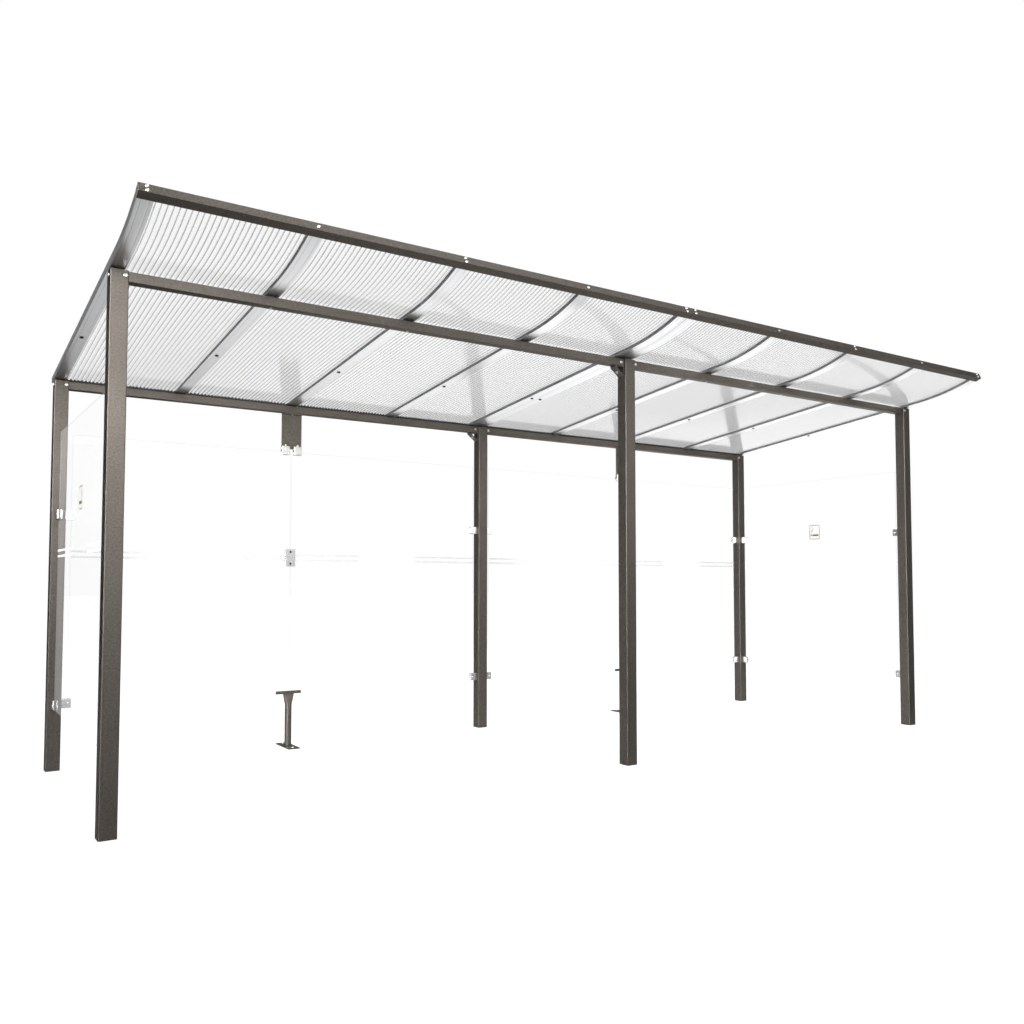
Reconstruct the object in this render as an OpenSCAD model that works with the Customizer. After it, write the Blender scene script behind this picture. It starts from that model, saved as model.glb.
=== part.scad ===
// Smoking shelter made of two roof modules side by side on six square posts.
// Glass screens close the rear and both ends, and the front is open.
// The roof is clear multiwall sheet between curved glazing bars, and it curls up at the front.

/* [Overall] */
// Length of the roof, both modules together
length = 5008; // [4000:4:6000]
// Depth of the roof, front edge to rear edge
depth = 2020; // [1850:5:2200]
// Height of the underside of the front purlins
front_clear = 2060; // [1950:5:2300]
// Height of the underside of the rear purlins
rear_clear = 1908; // [1800:2:2000]

/* [Posts] */
// Width of a square post
post_w = 66; // [56:1:80]
// Wall of the post tube
post_wall = 3; // [2:0.5:5]
// Rounding of the post's long edges
post_edge = 4; // [3:0.5:6]
// Front to rear distance between post centres
post_span = 1444; // [1300:2:1550]
// Distance of a post's outer face from the end of its roof module
post_inset = 4; // [0:1:20]
// Distance of the rear posts' rear face from the roof's rear edge
rear_over = 20; // [10:1:80]
// Plate that closes the foot of a post
foot_t = 6; // [4:1:12]
// Drop of a corner post's head joint below its purlin
head_drop = 4; // [2:1:20]
// Drop of a middle post's head joint below its purlin
middle_drop = 58; // [40:1:80]
// Wall of a post head
head_wall = 4; // [3:0.5:6]

/* [Purlins] */
// Depth of a purlin, front to rear
purlin_d = 48; // [36:1:54]
// Height of a purlin at its middle
purlin_h = 36; // [28:1:50]
// Wall of the purlin tube
purlin_wall = 3; // [2:0.5:4]
// Reach of a knee bracket along its purlin
knee_reach = 58; // [48:1:90]
// Height of a knee bracket down its post
knee_h = 52; // [44:1:80]
// Height of a knee bracket's free end
knee_lip = 10; // [8:0.5:16]
// Width of a knee bracket
knee_w = 42; // [30:1:52]
// Plate thickness of a knee bracket
knee_t = 4; // [3:0.5:5]
// Thickness of the pads between the purlins and the bars
pad_t = 5; // [3:0.5:8]
// Depth of a pad, front to rear
pad_d = 26; // [16:1:36]
// Distance of a pad's ends from the edges of its bar
pad_in = 4; // [3:0.5:10]

/* [Roof] */
// Width of a glazing bar
rib_w = 57; // [50:1:70]
// Height of a glazing bar below the sheets
rib_base = 10; // [8:0.5:14]
// Wall of a glazing bar's lower profile
rib_wall = 2; // [1.5:0.25:2.5]
// Rounding of the outer lower edge of the bars at a module's ends
rib_round = 3; // [1:0.25:3.5]
// Width of a glazing bar's web between two sheets
rib_web = 9; // [6:0.5:12]
// Thickness of the bar's top strip
strip_t = 2.5; // [2:0.5:5]
// Width of a groove along the underside of a bar
groove_w = 4; // [2:0.5:6]
// Depth of a groove along the underside of a bar
groove_d = 1; // [0.5:0.25:1.25]
// Thickness of a multiwall sheet
sheet_t = 16; // [10:1:20]
// Thickness of a sheet's upper and lower skin
skin_t = 0.8; // [0.5:0.1:2]
// Width of one cell of a sheet, from web to web
cell_w = 20; // [16:1:40]
// Thickness of a web between two cells
cell_web = 0.6; // [0.4:0.1:2]
// Gap between a sheet and the web of its bar
sheet_gap = 3; // [1:0.5:5]
// Bays of sheet in one module
bays = 4; // [3:1:5]
// Radius of the underside where the roof curls up
curl_r = 1300; // [1150:5:1900]
// Distance of the start of the curl in front of the front posts' centres
curl_start = 140; // [60:2:170]
// Flange length of the front edge beam
beam_flange = 35; // [25:1:60]
// Wall of the front edge beam
beam_wall = 3; // [2:0.5:5]
// Space between the front edge beam's flanges and the bars
beam_gap = 0.6; // [0.4:0.1:2]
// Gap between the two roof modules
module_gap = 2; // [1:0.5:6]

/* [Glass] */
// Height of the lower edge of the glass
glass_z = 302; // [250:1:400]
// Height of a glass panel
glass_h = 1380; // [1250:5:1450]
// Thickness of the glass
glass_t = 8; // [6:1:12]
// Distance of a glass edge from the post beside it
glass_side = 28; // [20:1:40]
// Gap between two panels in one bay
glass_gap = 6; // [4:1:12]

/* [Fittings] */
// Height of a glass clamp
clamp_h = 46; // [36:1:60]
// Length of a glass clamp out from its post
clamp_l = 46; // [42:1:60]
// Depth of the slot of a clamp
clamp_slot = 26; // [22:1:32]
// Thickness of one jaw of a clamp
jaw_t = 8; // [5:0.5:12]
// Height of the middle of the lower clamps above the glass edge
clamp_low = 24; // [23:1:80]
// Height of the middle of the upper clamps above the glass edge
clamp_high = 968; // [800:2:1100]
// Width of a hanger plate
hanger_w = 118; // [104:1:150]
// Thickness of a hanger plate
hanger_t = 8; // [6:1:12]
// Distance of the hanger plate above the glass
hanger_gap = 18; // [12:1:30]
// Width of a hanger clamp
grip_w = 46; // [36:1:50]
// Reach of a hanger clamp over the plate and over the glass
grip_lap = 16; // [10:1:22]
// Width of a joint plate
joint_w = 58; // [44:1:80]
// Height of a joint plate
joint_h = 100; // [70:1:140]
// Thickness of a joint plate
joint_t = 3; // [2:0.5:5]
// Height of the middle of a joint plate
joint_z = 1073; // [900:1:1250]

/* [Floor stands] */
// Diameter of a stand's tube
stand_d = 38; // [32:1:46]
// Wall of a stand's tube
stand_wall = 3; // [2:0.5:4]
// Width of the flattened top of the tube
flat_w = 60; // [50:1:72]
// Thickness of the flattened top of the tube
flat_t = 8; // [7:0.5:12]
// Height of the flattened part
flat_h = 62; // [45:1:90]
// Length of the channel under the glass
channel_l = 145; // [110:1:200]
// Height of the channel under the glass
channel_h = 16; // [12:1:24]
// Wall of the channel under the glass
channel_wall = 4; // [3:0.5:6]
// Width of a stand's base plate
base_w = 66; // [54:1:90]
// Length of a stand's base plate, front to rear
base_l = 210; // [150:2:260]
// Thickness of a stand's base plate
base_t = 6; // [4:1:10]

/* [Hidden] */
$fn = 64;
half = length / 2;
post_r = post_w / 2;
// depths of the two rows of posts and of the roof's rear edge, about the middle of the whole plan
roof_back = rear_over + post_r;
y_rear = (depth - roof_back - max(roof_back, base_l / 2)) / 2;
y_front = y_rear - post_span;
y_back = y_rear + roof_back;
// lengthwise places of the posts: left, middle and right
x_left = -half + post_inset + post_r;
x_mid = post_inset + post_r;
x_right = half - post_inset - post_r;
mid_face = post_inset;
// slope of the straight part of the roof and the line of the bars' underside
slope = atan((front_clear - rear_clear) / post_span);
rib_h = rib_base + sheet_t + strip_t;
function roof_z(y) = front_clear + purlin_h + pad_t - (y - y_front) * tan(slope);
// rear end of the bars, and where the curl starts
y_end = y_back - rib_h * sin(slope);
y_curl = y_front - curl_start;
straight = (y_end - y_curl) / cos(slope);
// distance of the curl's axis behind the front edge, and the angle at which the front beam reaches that edge
front_gap = y_curl + curl_r * sin(slope) - y_back + depth;
edge_r = curl_r + beam_gap + beam_wall;
tip = asin(front_gap / sqrt(edge_r * edge_r + beam_wall * beam_wall)) - atan(beam_wall / edge_r);
// width of one module and of its equal sheets, which lie between the end bars' outer walls and the webs
module_w = half - module_gap / 2;
sheet_w = (module_w - 2 * strip_t - (bays - 1) * rib_web) / bays - 2 * sheet_gap;
bay_step = sheet_w + 2 * sheet_gap + rib_web;
// places of the modules and of the bars in a module
function module_x(side) = side < 0 ? -half : module_gap / 2;
function inner_x(i) = strip_t + i * bay_step - rib_web / 2;
function bar_x(i) = i == 0 ? rib_w / 2 : i == bays ? module_w - rib_w / 2 : inner_x(i);
// joints of the rear glass, one in the middle of each module
x_joint = half / 2;
glass_top = glass_z + glass_h;
hanger_z = glass_top + hanger_gap;
clamp_t = glass_t + 2 * jaw_t;
low_z = glass_z + clamp_low;
high_z = glass_z + clamp_high;
channel_t = glass_t + 2 * channel_wall;
channel_z = glass_z - channel_wall;
flat_z = channel_z - flat_h;

bronze = [0.33, 0.30, 0.27];
silver = [0.80, 0.81, 0.82];
steel = [0.72, 0.72, 0.72];
clear = [0.85, 0.92, 0.92, 0.35];
black = [0.05, 0.05, 0.05];
milky = [0.93, 0.94, 0.95, 0.6];

// square outline with rounded corners
module rounded(w, r) {
    square([w, w - 2 * r], center = true);
    square([w - 2 * r, w], center = true);
    for (x = [-1, 1], y = [-1, 1])
        translate([x * (w / 2 - r), y * (w / 2 - r)])
            circle(r);
}

// one post: a tube closed by a plate at the foot
module post(x, y, top) {
    translate([x, y, 0])
        difference() {
            linear_extrude(top)
                rounded(post_w, post_edge);
            translate([0, 0, foot_t])
                linear_extrude(top)
                    square(post_w - 2 * post_wall, center = true);
        }
}

// outline that spans from a level up to the line of the bars, around depth y
module under_roof(y, r, low, lower) {
    polygon([
        [y - r, low],
        [y + r, low],
        [y + r, roof_z(y + r) - lower],
        [y - r, roof_z(y - r) - lower],
    ]);
}

// turns an outline drawn in depth and height so that it runs along the length
module along_x(x0, x1) {
    translate([x0, 0, 0])
        multmatrix([[0, 0, 1, 0], [1, 0, 0, 0], [0, 1, 0, 0], [0, 0, 0, 1]])
            linear_extrude(x1 - x0)
                children();
}

// one post head: a cap with a top that follows the roof
module head(x, y, joint) {
    difference() {
        along_x(x - post_r, x + post_r)
            under_roof(y, post_r, joint, pad_t);
        along_x(x - post_r + head_wall, x + post_r - head_wall)
            under_roof(y, post_r - head_wall, joint - 1, pad_t + head_wall);
    }
}

// one purlin: a tube with a top that follows the roof
module purlin(x0, x1, y, low) {
    along_x(x0, x1)
        difference() {
            under_roof(y, purlin_d / 2, low, pad_t);
            under_roof(y, purlin_d / 2 - purlin_wall, low + purlin_wall, pad_t + purlin_wall);
        }
}

// pads that carry the bars of one module on a row of purlins and heads
module pads(side, y) {
    r = pad_d / 2;
    w = rib_w / 2 - pad_in;
    for (i = [0 : bays])
        along_x(module_x(side) + bar_x(i) - w, module_x(side) + bar_x(i) + w)
            polygon([
                [y - r, roof_z(y - r) - pad_t],
                [y + r, roof_z(y + r) - pad_t],
                [y + r, roof_z(y + r)],
                [y - r, roof_z(y - r)],
            ]);
}

// one knee bracket on the left face of a middle post, under the left module's purlin:
// a folded strip with a top flange, a slanting web and a flange on the post, open at front and rear
module knee(y, top) {
    fall = atan((knee_h - knee_lip) / (knee_reach - knee_t));
    inner = knee_t / cos(fall);
    translate([mid_face, y + knee_w / 2, top])
        rotate([90, 0, 0])
            linear_extrude(knee_w)
                difference() {
                    polygon([
                        [0, 0],
                        [-knee_reach, 0],
                        [-knee_reach, -knee_lip],
                        [-knee_t, -knee_h],
                        [0, -knee_h],
                    ]);
                    polygon([
                        [-knee_t, -knee_t],
                        [-knee_reach + knee_t, -knee_t],
                        [-knee_reach + knee_t, inner - knee_lip - knee_t * tan(fall)],
                        [-knee_t, inner - knee_h],
                    ]);
                }
}

// places what is drawn at the start of the curl: y runs down the roof to the rear, z square to the roof
module on_roof() {
    translate([0, y_curl, roof_z(y_curl)])
        rotate([-slope, 0, 0])
            children();
}

// carries an outline drawn across the roof along the straight part and round the curl
module along_roof() {
    on_roof() {
        translate([0, straight, 0])
            rotate([90, 0, 0])
                linear_extrude(straight)
                    children();
        multmatrix([[0, 0, -1, 0], [0, -1, 0, 0], [-1, 0, 0, curl_r], [0, 0, 0, 1]])
            rotate_extrude(angle = tip - slope)
                translate([curl_r, 0])
                    rotate(90)
                        mirror([1, 0])
                            children();
    }
}

// what the rounding takes off the outer lower edge of an end bar
module rounded_off(s) {
    difference() {
        translate([s > 0 ? 0 : -rib_round - 1, -rib_round - 1])
            square(rib_round + 1);
        circle(rib_round);
    }
}

// section of a glazing bar: hollow lower profile with two grooves, web and top strip
// closed is 0 for a bar between two sheets, and -1 or 1 for an end bar with its web as a wall on that side
module bar_section(closed) {
    chamber_w = (rib_w - rib_web) / 2 - rib_wall;
    difference() {
        union() {
            translate([-rib_w / 2, 0])
                square([rib_w, rib_base]);
            translate([-rib_w / 2, rib_h - strip_t])
                square([rib_w, strip_t]);
            if (closed == 0)
                translate([-rib_web / 2, 0])
                    square([rib_web, rib_h]);
            else
                translate([closed > 0 ? rib_w / 2 - strip_t : -rib_w / 2, 0])
                    square([strip_t, rib_h]);
        }
        if (closed != 0)
            translate([closed * (rib_w / 2 - rib_round), rib_round])
                rounded_off(closed);
        for (s = [-1, 1]) {
            translate([s * rib_w / 4 - groove_w / 2, -1])
                square([groove_w, groove_d + 1]);
            translate([s * (rib_web / 2 + chamber_w / 2) - chamber_w / 2, rib_wall + groove_d])
                square([chamber_w, rib_base - 2 * rib_wall - groove_d]);
        }
    }
}

module bars(side) {
    for (i = [0 : bays])
        translate([module_x(side) + bar_x(i), 0, 0])
            along_roof()
                bar_section(i == 0 ? -1 : i == bays ? 1 : 0);
}

// section of a sheet: two skins with a row of open cells between them
module sheet_section(w) {
    cells = floor(w / cell_w);
    pitch = (w - cell_web) / cells;
    difference() {
        square([w, sheet_t]);
        for (i = [0 : cells - 1])
            translate([cell_web + i * pitch, skin_t])
                square([pitch - cell_web, sheet_t - 2 * skin_t]);
    }
}

// one sheet, lying between the lower profiles and the top strips of two bars
module sheet(side, i) {
    if (i < bays)
        translate([module_x(side) + strip_t + sheet_gap + i * bay_step, 0, 0])
            along_roof()
                translate([0, rib_base])
                    sheet_section(sheet_w);
}

// one half of the front edge beam: a channel over the front ends of the bars and sheets
module front_beam(x0, x1) {
    outer = rib_h + 2 * beam_gap + 2 * beam_wall;
    on_roof()
        translate([0, 0, curl_r])
            rotate([slope - tip, 0, 0])
                translate([x0, 0, -curl_r])
                    difference() {
                        translate([0, -beam_wall, -beam_gap - beam_wall])
                            cube([x1 - x0, beam_flange + beam_wall, outer]);
                        translate([-1, 0, -beam_gap])
                            cube([x1 - x0 + 2, beam_flange + 1, outer - 2 * beam_wall]);
                    }
}

module glass_rear(x0, x1) {
    translate([x0, y_rear - glass_t / 2, glass_z])
        cube([x1 - x0, glass_t, glass_h]);
}

module glass_end(x) {
    reach = post_span - post_w - 2 * glass_side;
    translate([x - glass_t / 2, y_front + post_r + glass_side, glass_z])
        cube([glass_t, reach, glass_h]);
}

// one glass clamp at a post: turn 0 points along +X
module clamp(x, y, z, turn) {
    translate([x, y, z])
        rotate([0, 0, turn])
            translate([post_r, 0, 0])
                difference() {
                    translate([0, -clamp_t / 2, -clamp_h / 2])
                        cube([clamp_l, clamp_t, clamp_h]);
                    translate([clamp_l - clamp_slot, -glass_t / 2, -clamp_h])
                        cube([clamp_l, glass_t, 2 * clamp_h]);
                }
}

module clamps(z) {
    clamp(x_left, y_rear, z, 0);
    clamp(x_left, y_rear, z, 270);
    clamp(x_mid, y_rear, z, 180);
    clamp(x_mid, y_rear, z, 0);
    clamp(x_right, y_rear, z, 180);
    clamp(x_right, y_rear, z, 270);
    clamp(x_left, y_front, z, 90);
    clamp(x_right, y_front, z, 90);
}

// one hanger: a plate above the glass joint with a flange under the rear purlin
module hanger(x) {
    translate([x - hanger_w / 2, y_rear - hanger_t / 2, hanger_z])
        cube([hanger_w, hanger_t, rear_clear - hanger_z]);
    translate([x - hanger_w / 2, y_rear - purlin_d / 2, rear_clear - hanger_t])
        cube([hanger_w, purlin_d / 2, hanger_t]);
}

// one clamp that joins a hanger plate to a pane below it
module hanger_clamp(x) {
    wide = max(glass_t, hanger_t);
    translate([x - grip_w / 2, y_rear - wide / 2 - jaw_t, glass_top - grip_lap])
        difference() {
            cube([grip_w, wide + 2 * jaw_t, hanger_gap + 2 * grip_lap]);
            translate([-1, jaw_t + (wide - glass_t) / 2, -1])
                cube([grip_w + 2, glass_t, grip_lap + 1]);
            translate([-1, jaw_t + (wide - hanger_t) / 2, hanger_gap + grip_lap])
                cube([grip_w + 2, hanger_t, grip_lap + 1]);
        }
}

module joint_plate(x, s) {
    translate([x - joint_w / 2, y_rear + (s > 0 ? glass_t / 2 : -glass_t / 2 - joint_t), joint_z - joint_h / 2])
        cube([joint_w, joint_t, joint_h]);
}

// one floor stand: base plate, round tube flattened at the top, and a channel for the glass
module stand(x) {
    translate([x, y_rear, 0]) {
        translate([-base_w / 2, -base_l / 2, 0])
            cube([base_w, base_l, base_t]);
        difference() {
            cylinder(h = flat_z, d = stand_d);
            translate([0, 0, base_t])
                cylinder(h = flat_z, d = stand_d - 2 * stand_wall);
        }
        hull() {
            translate([0, 0, flat_z])
                cylinder(h = 0.5, d = stand_d);
            translate([-flat_w / 2, -flat_t / 2, channel_z - 8])
                cube([flat_w, flat_t, 8]);
        }
        translate([-channel_l / 2, -channel_t / 2, channel_z])
            difference() {
                cube([channel_l, channel_t, channel_h]);
                translate([-1, channel_wall, channel_wall])
                    cube([channel_l + 2, glass_t, channel_h]);
            }
    }
}

module post_front_left() { color(bronze) post(x_left, y_front, front_clear - head_drop); }
module post_front_middle() { color(bronze) post(x_mid, y_front, front_clear - middle_drop); }
module post_front_right() { color(bronze) post(x_right, y_front, front_clear - head_drop); }
module post_rear_left() { color(bronze) post(x_left, y_rear, rear_clear - head_drop); }
module post_rear_middle() { color(bronze) post(x_mid, y_rear, rear_clear - middle_drop); }
module post_rear_right() { color(bronze) post(x_right, y_rear, rear_clear - head_drop); }
module heads_front() {
    color(bronze) {
        head(x_left, y_front, front_clear - head_drop);
        head(x_mid, y_front, front_clear - middle_drop);
        head(x_right, y_front, front_clear - head_drop);
    }
}
module heads_rear() {
    color(bronze) {
        head(x_left, y_rear, rear_clear - head_drop);
        head(x_mid, y_rear, rear_clear - middle_drop);
        head(x_right, y_rear, rear_clear - head_drop);
    }
}
module purlin_front_left() { color(bronze) purlin(x_left + post_r, mid_face, y_front, front_clear); }
module purlin_front_right() { color(bronze) purlin(x_mid + post_r, x_right - post_r, y_front, front_clear); }
module purlin_rear_left() { color(bronze) purlin(x_left + post_r, mid_face, y_rear, rear_clear); }
module purlin_rear_right() { color(bronze) purlin(x_mid + post_r, x_right - post_r, y_rear, rear_clear); }
module knee_brackets() {
    color(bronze) {
        knee(y_front, front_clear);
        knee(y_rear, rear_clear);
    }
}
module seat_pads() {
    color(black)
        for (side = [-1, 1], y = [y_front, y_rear])
            pads(side, y);
}
module bars_left() { color(silver) bars(-1); }
module bars_right() { color(silver) bars(1); }
module sheet_left_1() { color(milky) sheet(-1, 0); }
module sheet_left_2() { color(milky) sheet(-1, 1); }
module sheet_left_3() { color(milky) sheet(-1, 2); }
module sheet_left_4() { color(milky) sheet(-1, 3); }
module sheet_right_1() { color(milky) sheet(1, 0); }
module sheet_right_2() { color(milky) sheet(1, 1); }
module sheet_right_3() { color(milky) sheet(1, 2); }
module sheet_right_4() { color(milky) sheet(1, 3); }
module front_beam_left() { color(bronze) front_beam(-half, -module_gap / 2); }
module front_beam_right() { color(bronze) front_beam(module_gap / 2, half); }
module glass_end_left() { color(clear) glass_end(x_left); }
module glass_end_right() { color(clear) glass_end(x_right); }
module glass_rear_1() { color(clear) glass_rear(x_left + post_r + glass_side, -x_joint - glass_gap / 2); }
module glass_rear_2() { color(clear) glass_rear(-x_joint + glass_gap / 2, mid_face - glass_side); }
module glass_rear_3() { color(clear) glass_rear(x_mid + post_r + glass_side, x_joint - glass_gap / 2); }
module glass_rear_4() { color(clear) glass_rear(x_joint + glass_gap / 2, x_right - post_r - glass_side); }
module clamps_lower() { color(steel) clamps(low_z); }
module clamps_upper() { color(steel) clamps(high_z); }
module hangers() {
    color(bronze) {
        hanger(-x_joint);
        hanger(x_joint);
    }
}
module hanger_clamps() {
    color(steel)
        for (x = [-x_joint, x_joint], s = [-1, 1])
            hanger_clamp(x + s * (hanger_w - grip_w) / 2);
}
module joint_plates() {
    color(steel)
        for (x = [-x_joint, x_joint], s = [-1, 1])
            joint_plate(x, s);
}
module stand_left() { color(bronze) stand(-x_joint); }
module stand_right() { color(bronze) stand(x_joint); }

post_front_left();
post_front_middle();
post_front_right();
post_rear_left();
post_rear_middle();
post_rear_right();
heads_front();
heads_rear();
purlin_front_left();
purlin_front_right();
purlin_rear_left();
purlin_rear_right();
knee_brackets();
seat_pads();
bars_left();
bars_right();
sheet_left_1();
sheet_left_2();
sheet_left_3();
sheet_left_4();
sheet_right_1();
sheet_right_2();
sheet_right_3();
sheet_right_4();
front_beam_left();
front_beam_right();
glass_end_left();
glass_end_right();
glass_rear_1();
glass_rear_2();
glass_rear_3();
glass_rear_4();
clamps_lower();
clamps_upper();
hangers();
hanger_clamps();
joint_plates();
stand_left();
stand_right();
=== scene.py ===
"""Looks of the smoking shelter: eased CAD shapes, fasteners, printed marks, materials, stage, lamps
and camera."""
import math

import bmesh
import bpy
from mathutils import Matrix, Vector


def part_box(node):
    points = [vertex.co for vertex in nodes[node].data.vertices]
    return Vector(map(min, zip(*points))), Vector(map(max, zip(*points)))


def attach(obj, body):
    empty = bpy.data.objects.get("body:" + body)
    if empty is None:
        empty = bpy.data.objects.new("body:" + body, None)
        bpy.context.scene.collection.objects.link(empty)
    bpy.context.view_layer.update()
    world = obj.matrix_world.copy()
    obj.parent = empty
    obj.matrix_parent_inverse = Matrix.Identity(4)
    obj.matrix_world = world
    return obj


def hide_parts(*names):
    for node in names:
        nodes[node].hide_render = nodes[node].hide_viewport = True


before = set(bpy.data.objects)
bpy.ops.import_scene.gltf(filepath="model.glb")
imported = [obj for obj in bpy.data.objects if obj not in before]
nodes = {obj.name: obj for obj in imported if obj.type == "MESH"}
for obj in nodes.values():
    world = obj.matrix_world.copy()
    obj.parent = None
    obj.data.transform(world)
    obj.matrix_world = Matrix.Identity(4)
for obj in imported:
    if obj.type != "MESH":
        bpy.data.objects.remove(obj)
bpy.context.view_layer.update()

# sizes in metres that the boxes of the CAD nodes do not tell
BAYS = 4
SHEET_CELLS = 30
BAR_W = 0.057
BAR_H = 0.0285
BAR_WEB = 0.009
BAR_BASE = 0.01
END_WALL = 0.0025
PAD_T = 0.005
CURL_R = 1.3
CURL_START = 0.14
PURLIN_D = 0.048
BEAM_WALL = 0.003
BEAM_GAP = 0.0006
CLAMP_T = 0.024
CLAMP_BOLT = 0.033
CLAMP_ROOT = 0.02
CLAMP_H = 0.046
HANGER_W = 0.118
HANGER_T = 0.008
GRIP_W = 0.046
STAND_PLATE = 0.006

# rounded corners and eased edges
TUBE_R = 0.005
HANGER_R = 0.007
CORNER_STEPS = 5
GLASS_EDGE = 0.0012
EASED = {"tube": 0.0018, "purlin": 0.005, "beam": 0.0012, "stand": 0.001, "bar": 0.0004,
         "knee": 0.0008, "pad": 0.0006, "hanger": 0.0012, "clamp": 0.0025, "plate": 0.0008}

# seals, and the black strips and rings of painted reflection and shade: how far they keep from what they touch, and
# the size of the rings in the posts' joints
LINER_CLEAR = 0.0002
STRIP_CLEAR = 0.0004
STRIP_NOTCH = 0.6
JOINT_BEHIND = 0.0002
JOINT_H = 0.0044
JOINT_T = 0.003

# places of screws, measured from the piece that they hold
BEAM_PAIR = 0.0092
BAR_SCREW_BACK = 0.044
WASHER_SEAT = 0.001
PURLIN_UP = 0.02
PURLIN_LEFT = 0.022
PURLIN_RIGHT = 0.01
PURLIN_END = 0.021
KNEE_MIDDLE = 0.031
KNEE_OUT = Vector((-0.614, 0, -0.789))
PLATE_PAIR = 0.034
HANGER_UP = 0.022
GRIP_DOWN = 0.007
STAND_BOLT = 0.082

# radius and height of the screw heads in each mesh
HEADS = {
    "screws_front_beam": (0.0068, 0.0018),
    "screws_bars": (0.0092, 0.0045),
    "washers_purlins": (0.0095, 0.0012),
    "screws_purlins": (0.0065, 0.0045),
    "screws_heads": (0.0085, 0.0032),
    "bolts_posts": (0.006, 0.0012),
    "screws_clamps": (0.006, 0.0022),
    "bolts_joints": (0.0065, 0.003),
    "screws_grips": (0.005, 0.002),
    "screws_hangers": (0.0065, 0.0032),
    "bolts_stands": (0.008, 0.0055),
}
HEAD_SUNK = 0.0004
HEAD_SIDES = 20

# printed marks
INK_T = 0.0002
STRIPE_LEVELS = (1.06, 1.088)
STRIPE_W = 0.01
STRIPE_BARE = 0.193
STRIPE_END = 0.002
SIGN_Z = 1.303
SIGN_HALF = (0.042, 0.05)
SIGN_R = 0.012
SIGN_LINE = 0.005
CIGARETTE_W = 0.014
CIGARETTE_Z = -0.022

# places taken from the CAD nodes' boxes
post_low, post_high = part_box("post_front_left")
post_r = (post_high.x - post_low.x) / 2
x_left = (post_low.x + post_high.x) / 2
y_front = (post_low.y + post_high.y) / 2
mid_low, mid_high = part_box("post_rear_middle")
x_mid = (mid_low.x + mid_high.x) / 2
y_rear = (mid_low.y + mid_high.y) / 2
x_right = -x_left
front_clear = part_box("purlin_front_left")[0].z
rear_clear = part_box("purlin_rear_left")[0].z
slope = math.atan((front_clear - rear_clear) / (y_rear - y_front))
purlin_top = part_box("purlin_front_left")[1].z - PURLIN_D / 2 * math.tan(slope)
glass_low, glass_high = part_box("glass_rear_1")
glass_t = glass_high.y - glass_low.y
hanger_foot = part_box("hangers")[0].z
x_joint = (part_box("stand_right")[0].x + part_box("stand_right")[1].x) / 2
clamp_levels = [sum(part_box(name)[i].z for i in (0, 1)) / 2 for name in ("clamps_lower", "clamps_upper")]
rows = (("front", y_front, front_clear), ("rear", y_rear, rear_clear))
columns = (("left", x_left), ("middle", x_mid), ("right", x_right))
end_panes = (("glass_end_left", -1), ("glass_end_right", 1))

X = Vector((1, 0, 0))
Y = Vector((0, 1, 0))
Z = Vector((0, 0, 1))


def roof_z(y):
    """Height of the bars' underside on the straight part of the roof."""
    return purlin_top + PAD_T - (y - y_front) * math.tan(slope)


def bar_places(side):
    """Lengthwise places of the five bars of one module."""
    low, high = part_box("bars_left" if side < 0 else "bars_right")
    step = (high.x - low.x - 2 * END_WALL + BAR_WEB) / BAYS
    inner = [low.x + END_WALL + i * step - BAR_WEB / 2 for i in range(1, BAYS)]
    return [low.x + BAR_W / 2, *inner, high.x - BAR_W / 2]


def beam_frame():
    """Origin of the front beam at the bars' underside, its direction to the rear and its direction up."""
    y_curl = y_front - CURL_START
    axis_y = y_curl + CURL_R * math.sin(slope)
    axis_z = roof_z(y_curl) + CURL_R * math.cos(slope)
    edge_r = CURL_R + BEAM_GAP + BEAM_WALL
    reach = axis_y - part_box("front_beam_left")[0].y
    tip = math.asin(reach / math.hypot(edge_r, BEAM_WALL)) - math.atan(BEAM_WALL / edge_r)
    origin = Vector((0, axis_y - CURL_R * math.sin(tip), axis_z - CURL_R * math.cos(tip)))
    return origin, Vector((0, math.cos(tip), -math.sin(tip))), Vector((0, math.sin(tip), math.cos(tip)))


# materials


def grey(level):
    """A colour without a hue."""
    return (level, level, level)


def node_set(name):
    """A new material, its node tree and its shader."""
    made = bpy.data.materials.new(name)
    made.use_nodes = True
    tree = made.node_tree
    return made, tree, tree.nodes["Principled BSDF"]


def value(tree, operation, first, second):
    """Result of a mathematical operation on two sockets or numbers."""
    made = tree.nodes.new("ShaderNodeMath")
    made.operation = operation
    for socket, given in zip(made.inputs, (first, second)):
        if isinstance(given, (int, float)):
            socket.default_value = given
        else:
            tree.links.new(given, socket)
    return made.outputs[0]


def noise(tree, scale, detail, vector):
    """A noise texture that reads the given coordinates."""
    made = tree.nodes.new("ShaderNodeTexNoise")
    made.inputs["Scale"].default_value = scale
    made.inputs["Detail"].default_value = detail
    tree.links.new(vector, made.inputs["Vector"])
    return made.outputs["Fac"]


def ramp(tree, factor, stops, *sockets):
    """Runs sockets through the given places and colours of a ramp."""
    made = tree.nodes.new("ShaderNodeValToRGB")
    for element, (place, colour) in zip(made.color_ramp.elements, stops):
        element.position = place
        element.color = (*colour, 1)
    tree.links.new(factor, made.inputs["Fac"])
    for socket in sockets:
        tree.links.new(made.outputs["Color"], socket)


def varied(tree, factor, dark, light, *sockets):
    """Runs sockets between two colours with a noise."""
    ramp(tree, factor, [(0.3, dark), (0.7, light)], *sockets)


def bump(tree, height, shader, strength, distance):
    """Bump from a height."""
    made = tree.nodes.new("ShaderNodeBump")
    made.inputs["Strength"].default_value = strength
    made.inputs["Distance"].default_value = distance
    tree.links.new(height, made.inputs["Height"])
    tree.links.new(made.outputs["Normal"], shader.inputs["Normal"])


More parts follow.
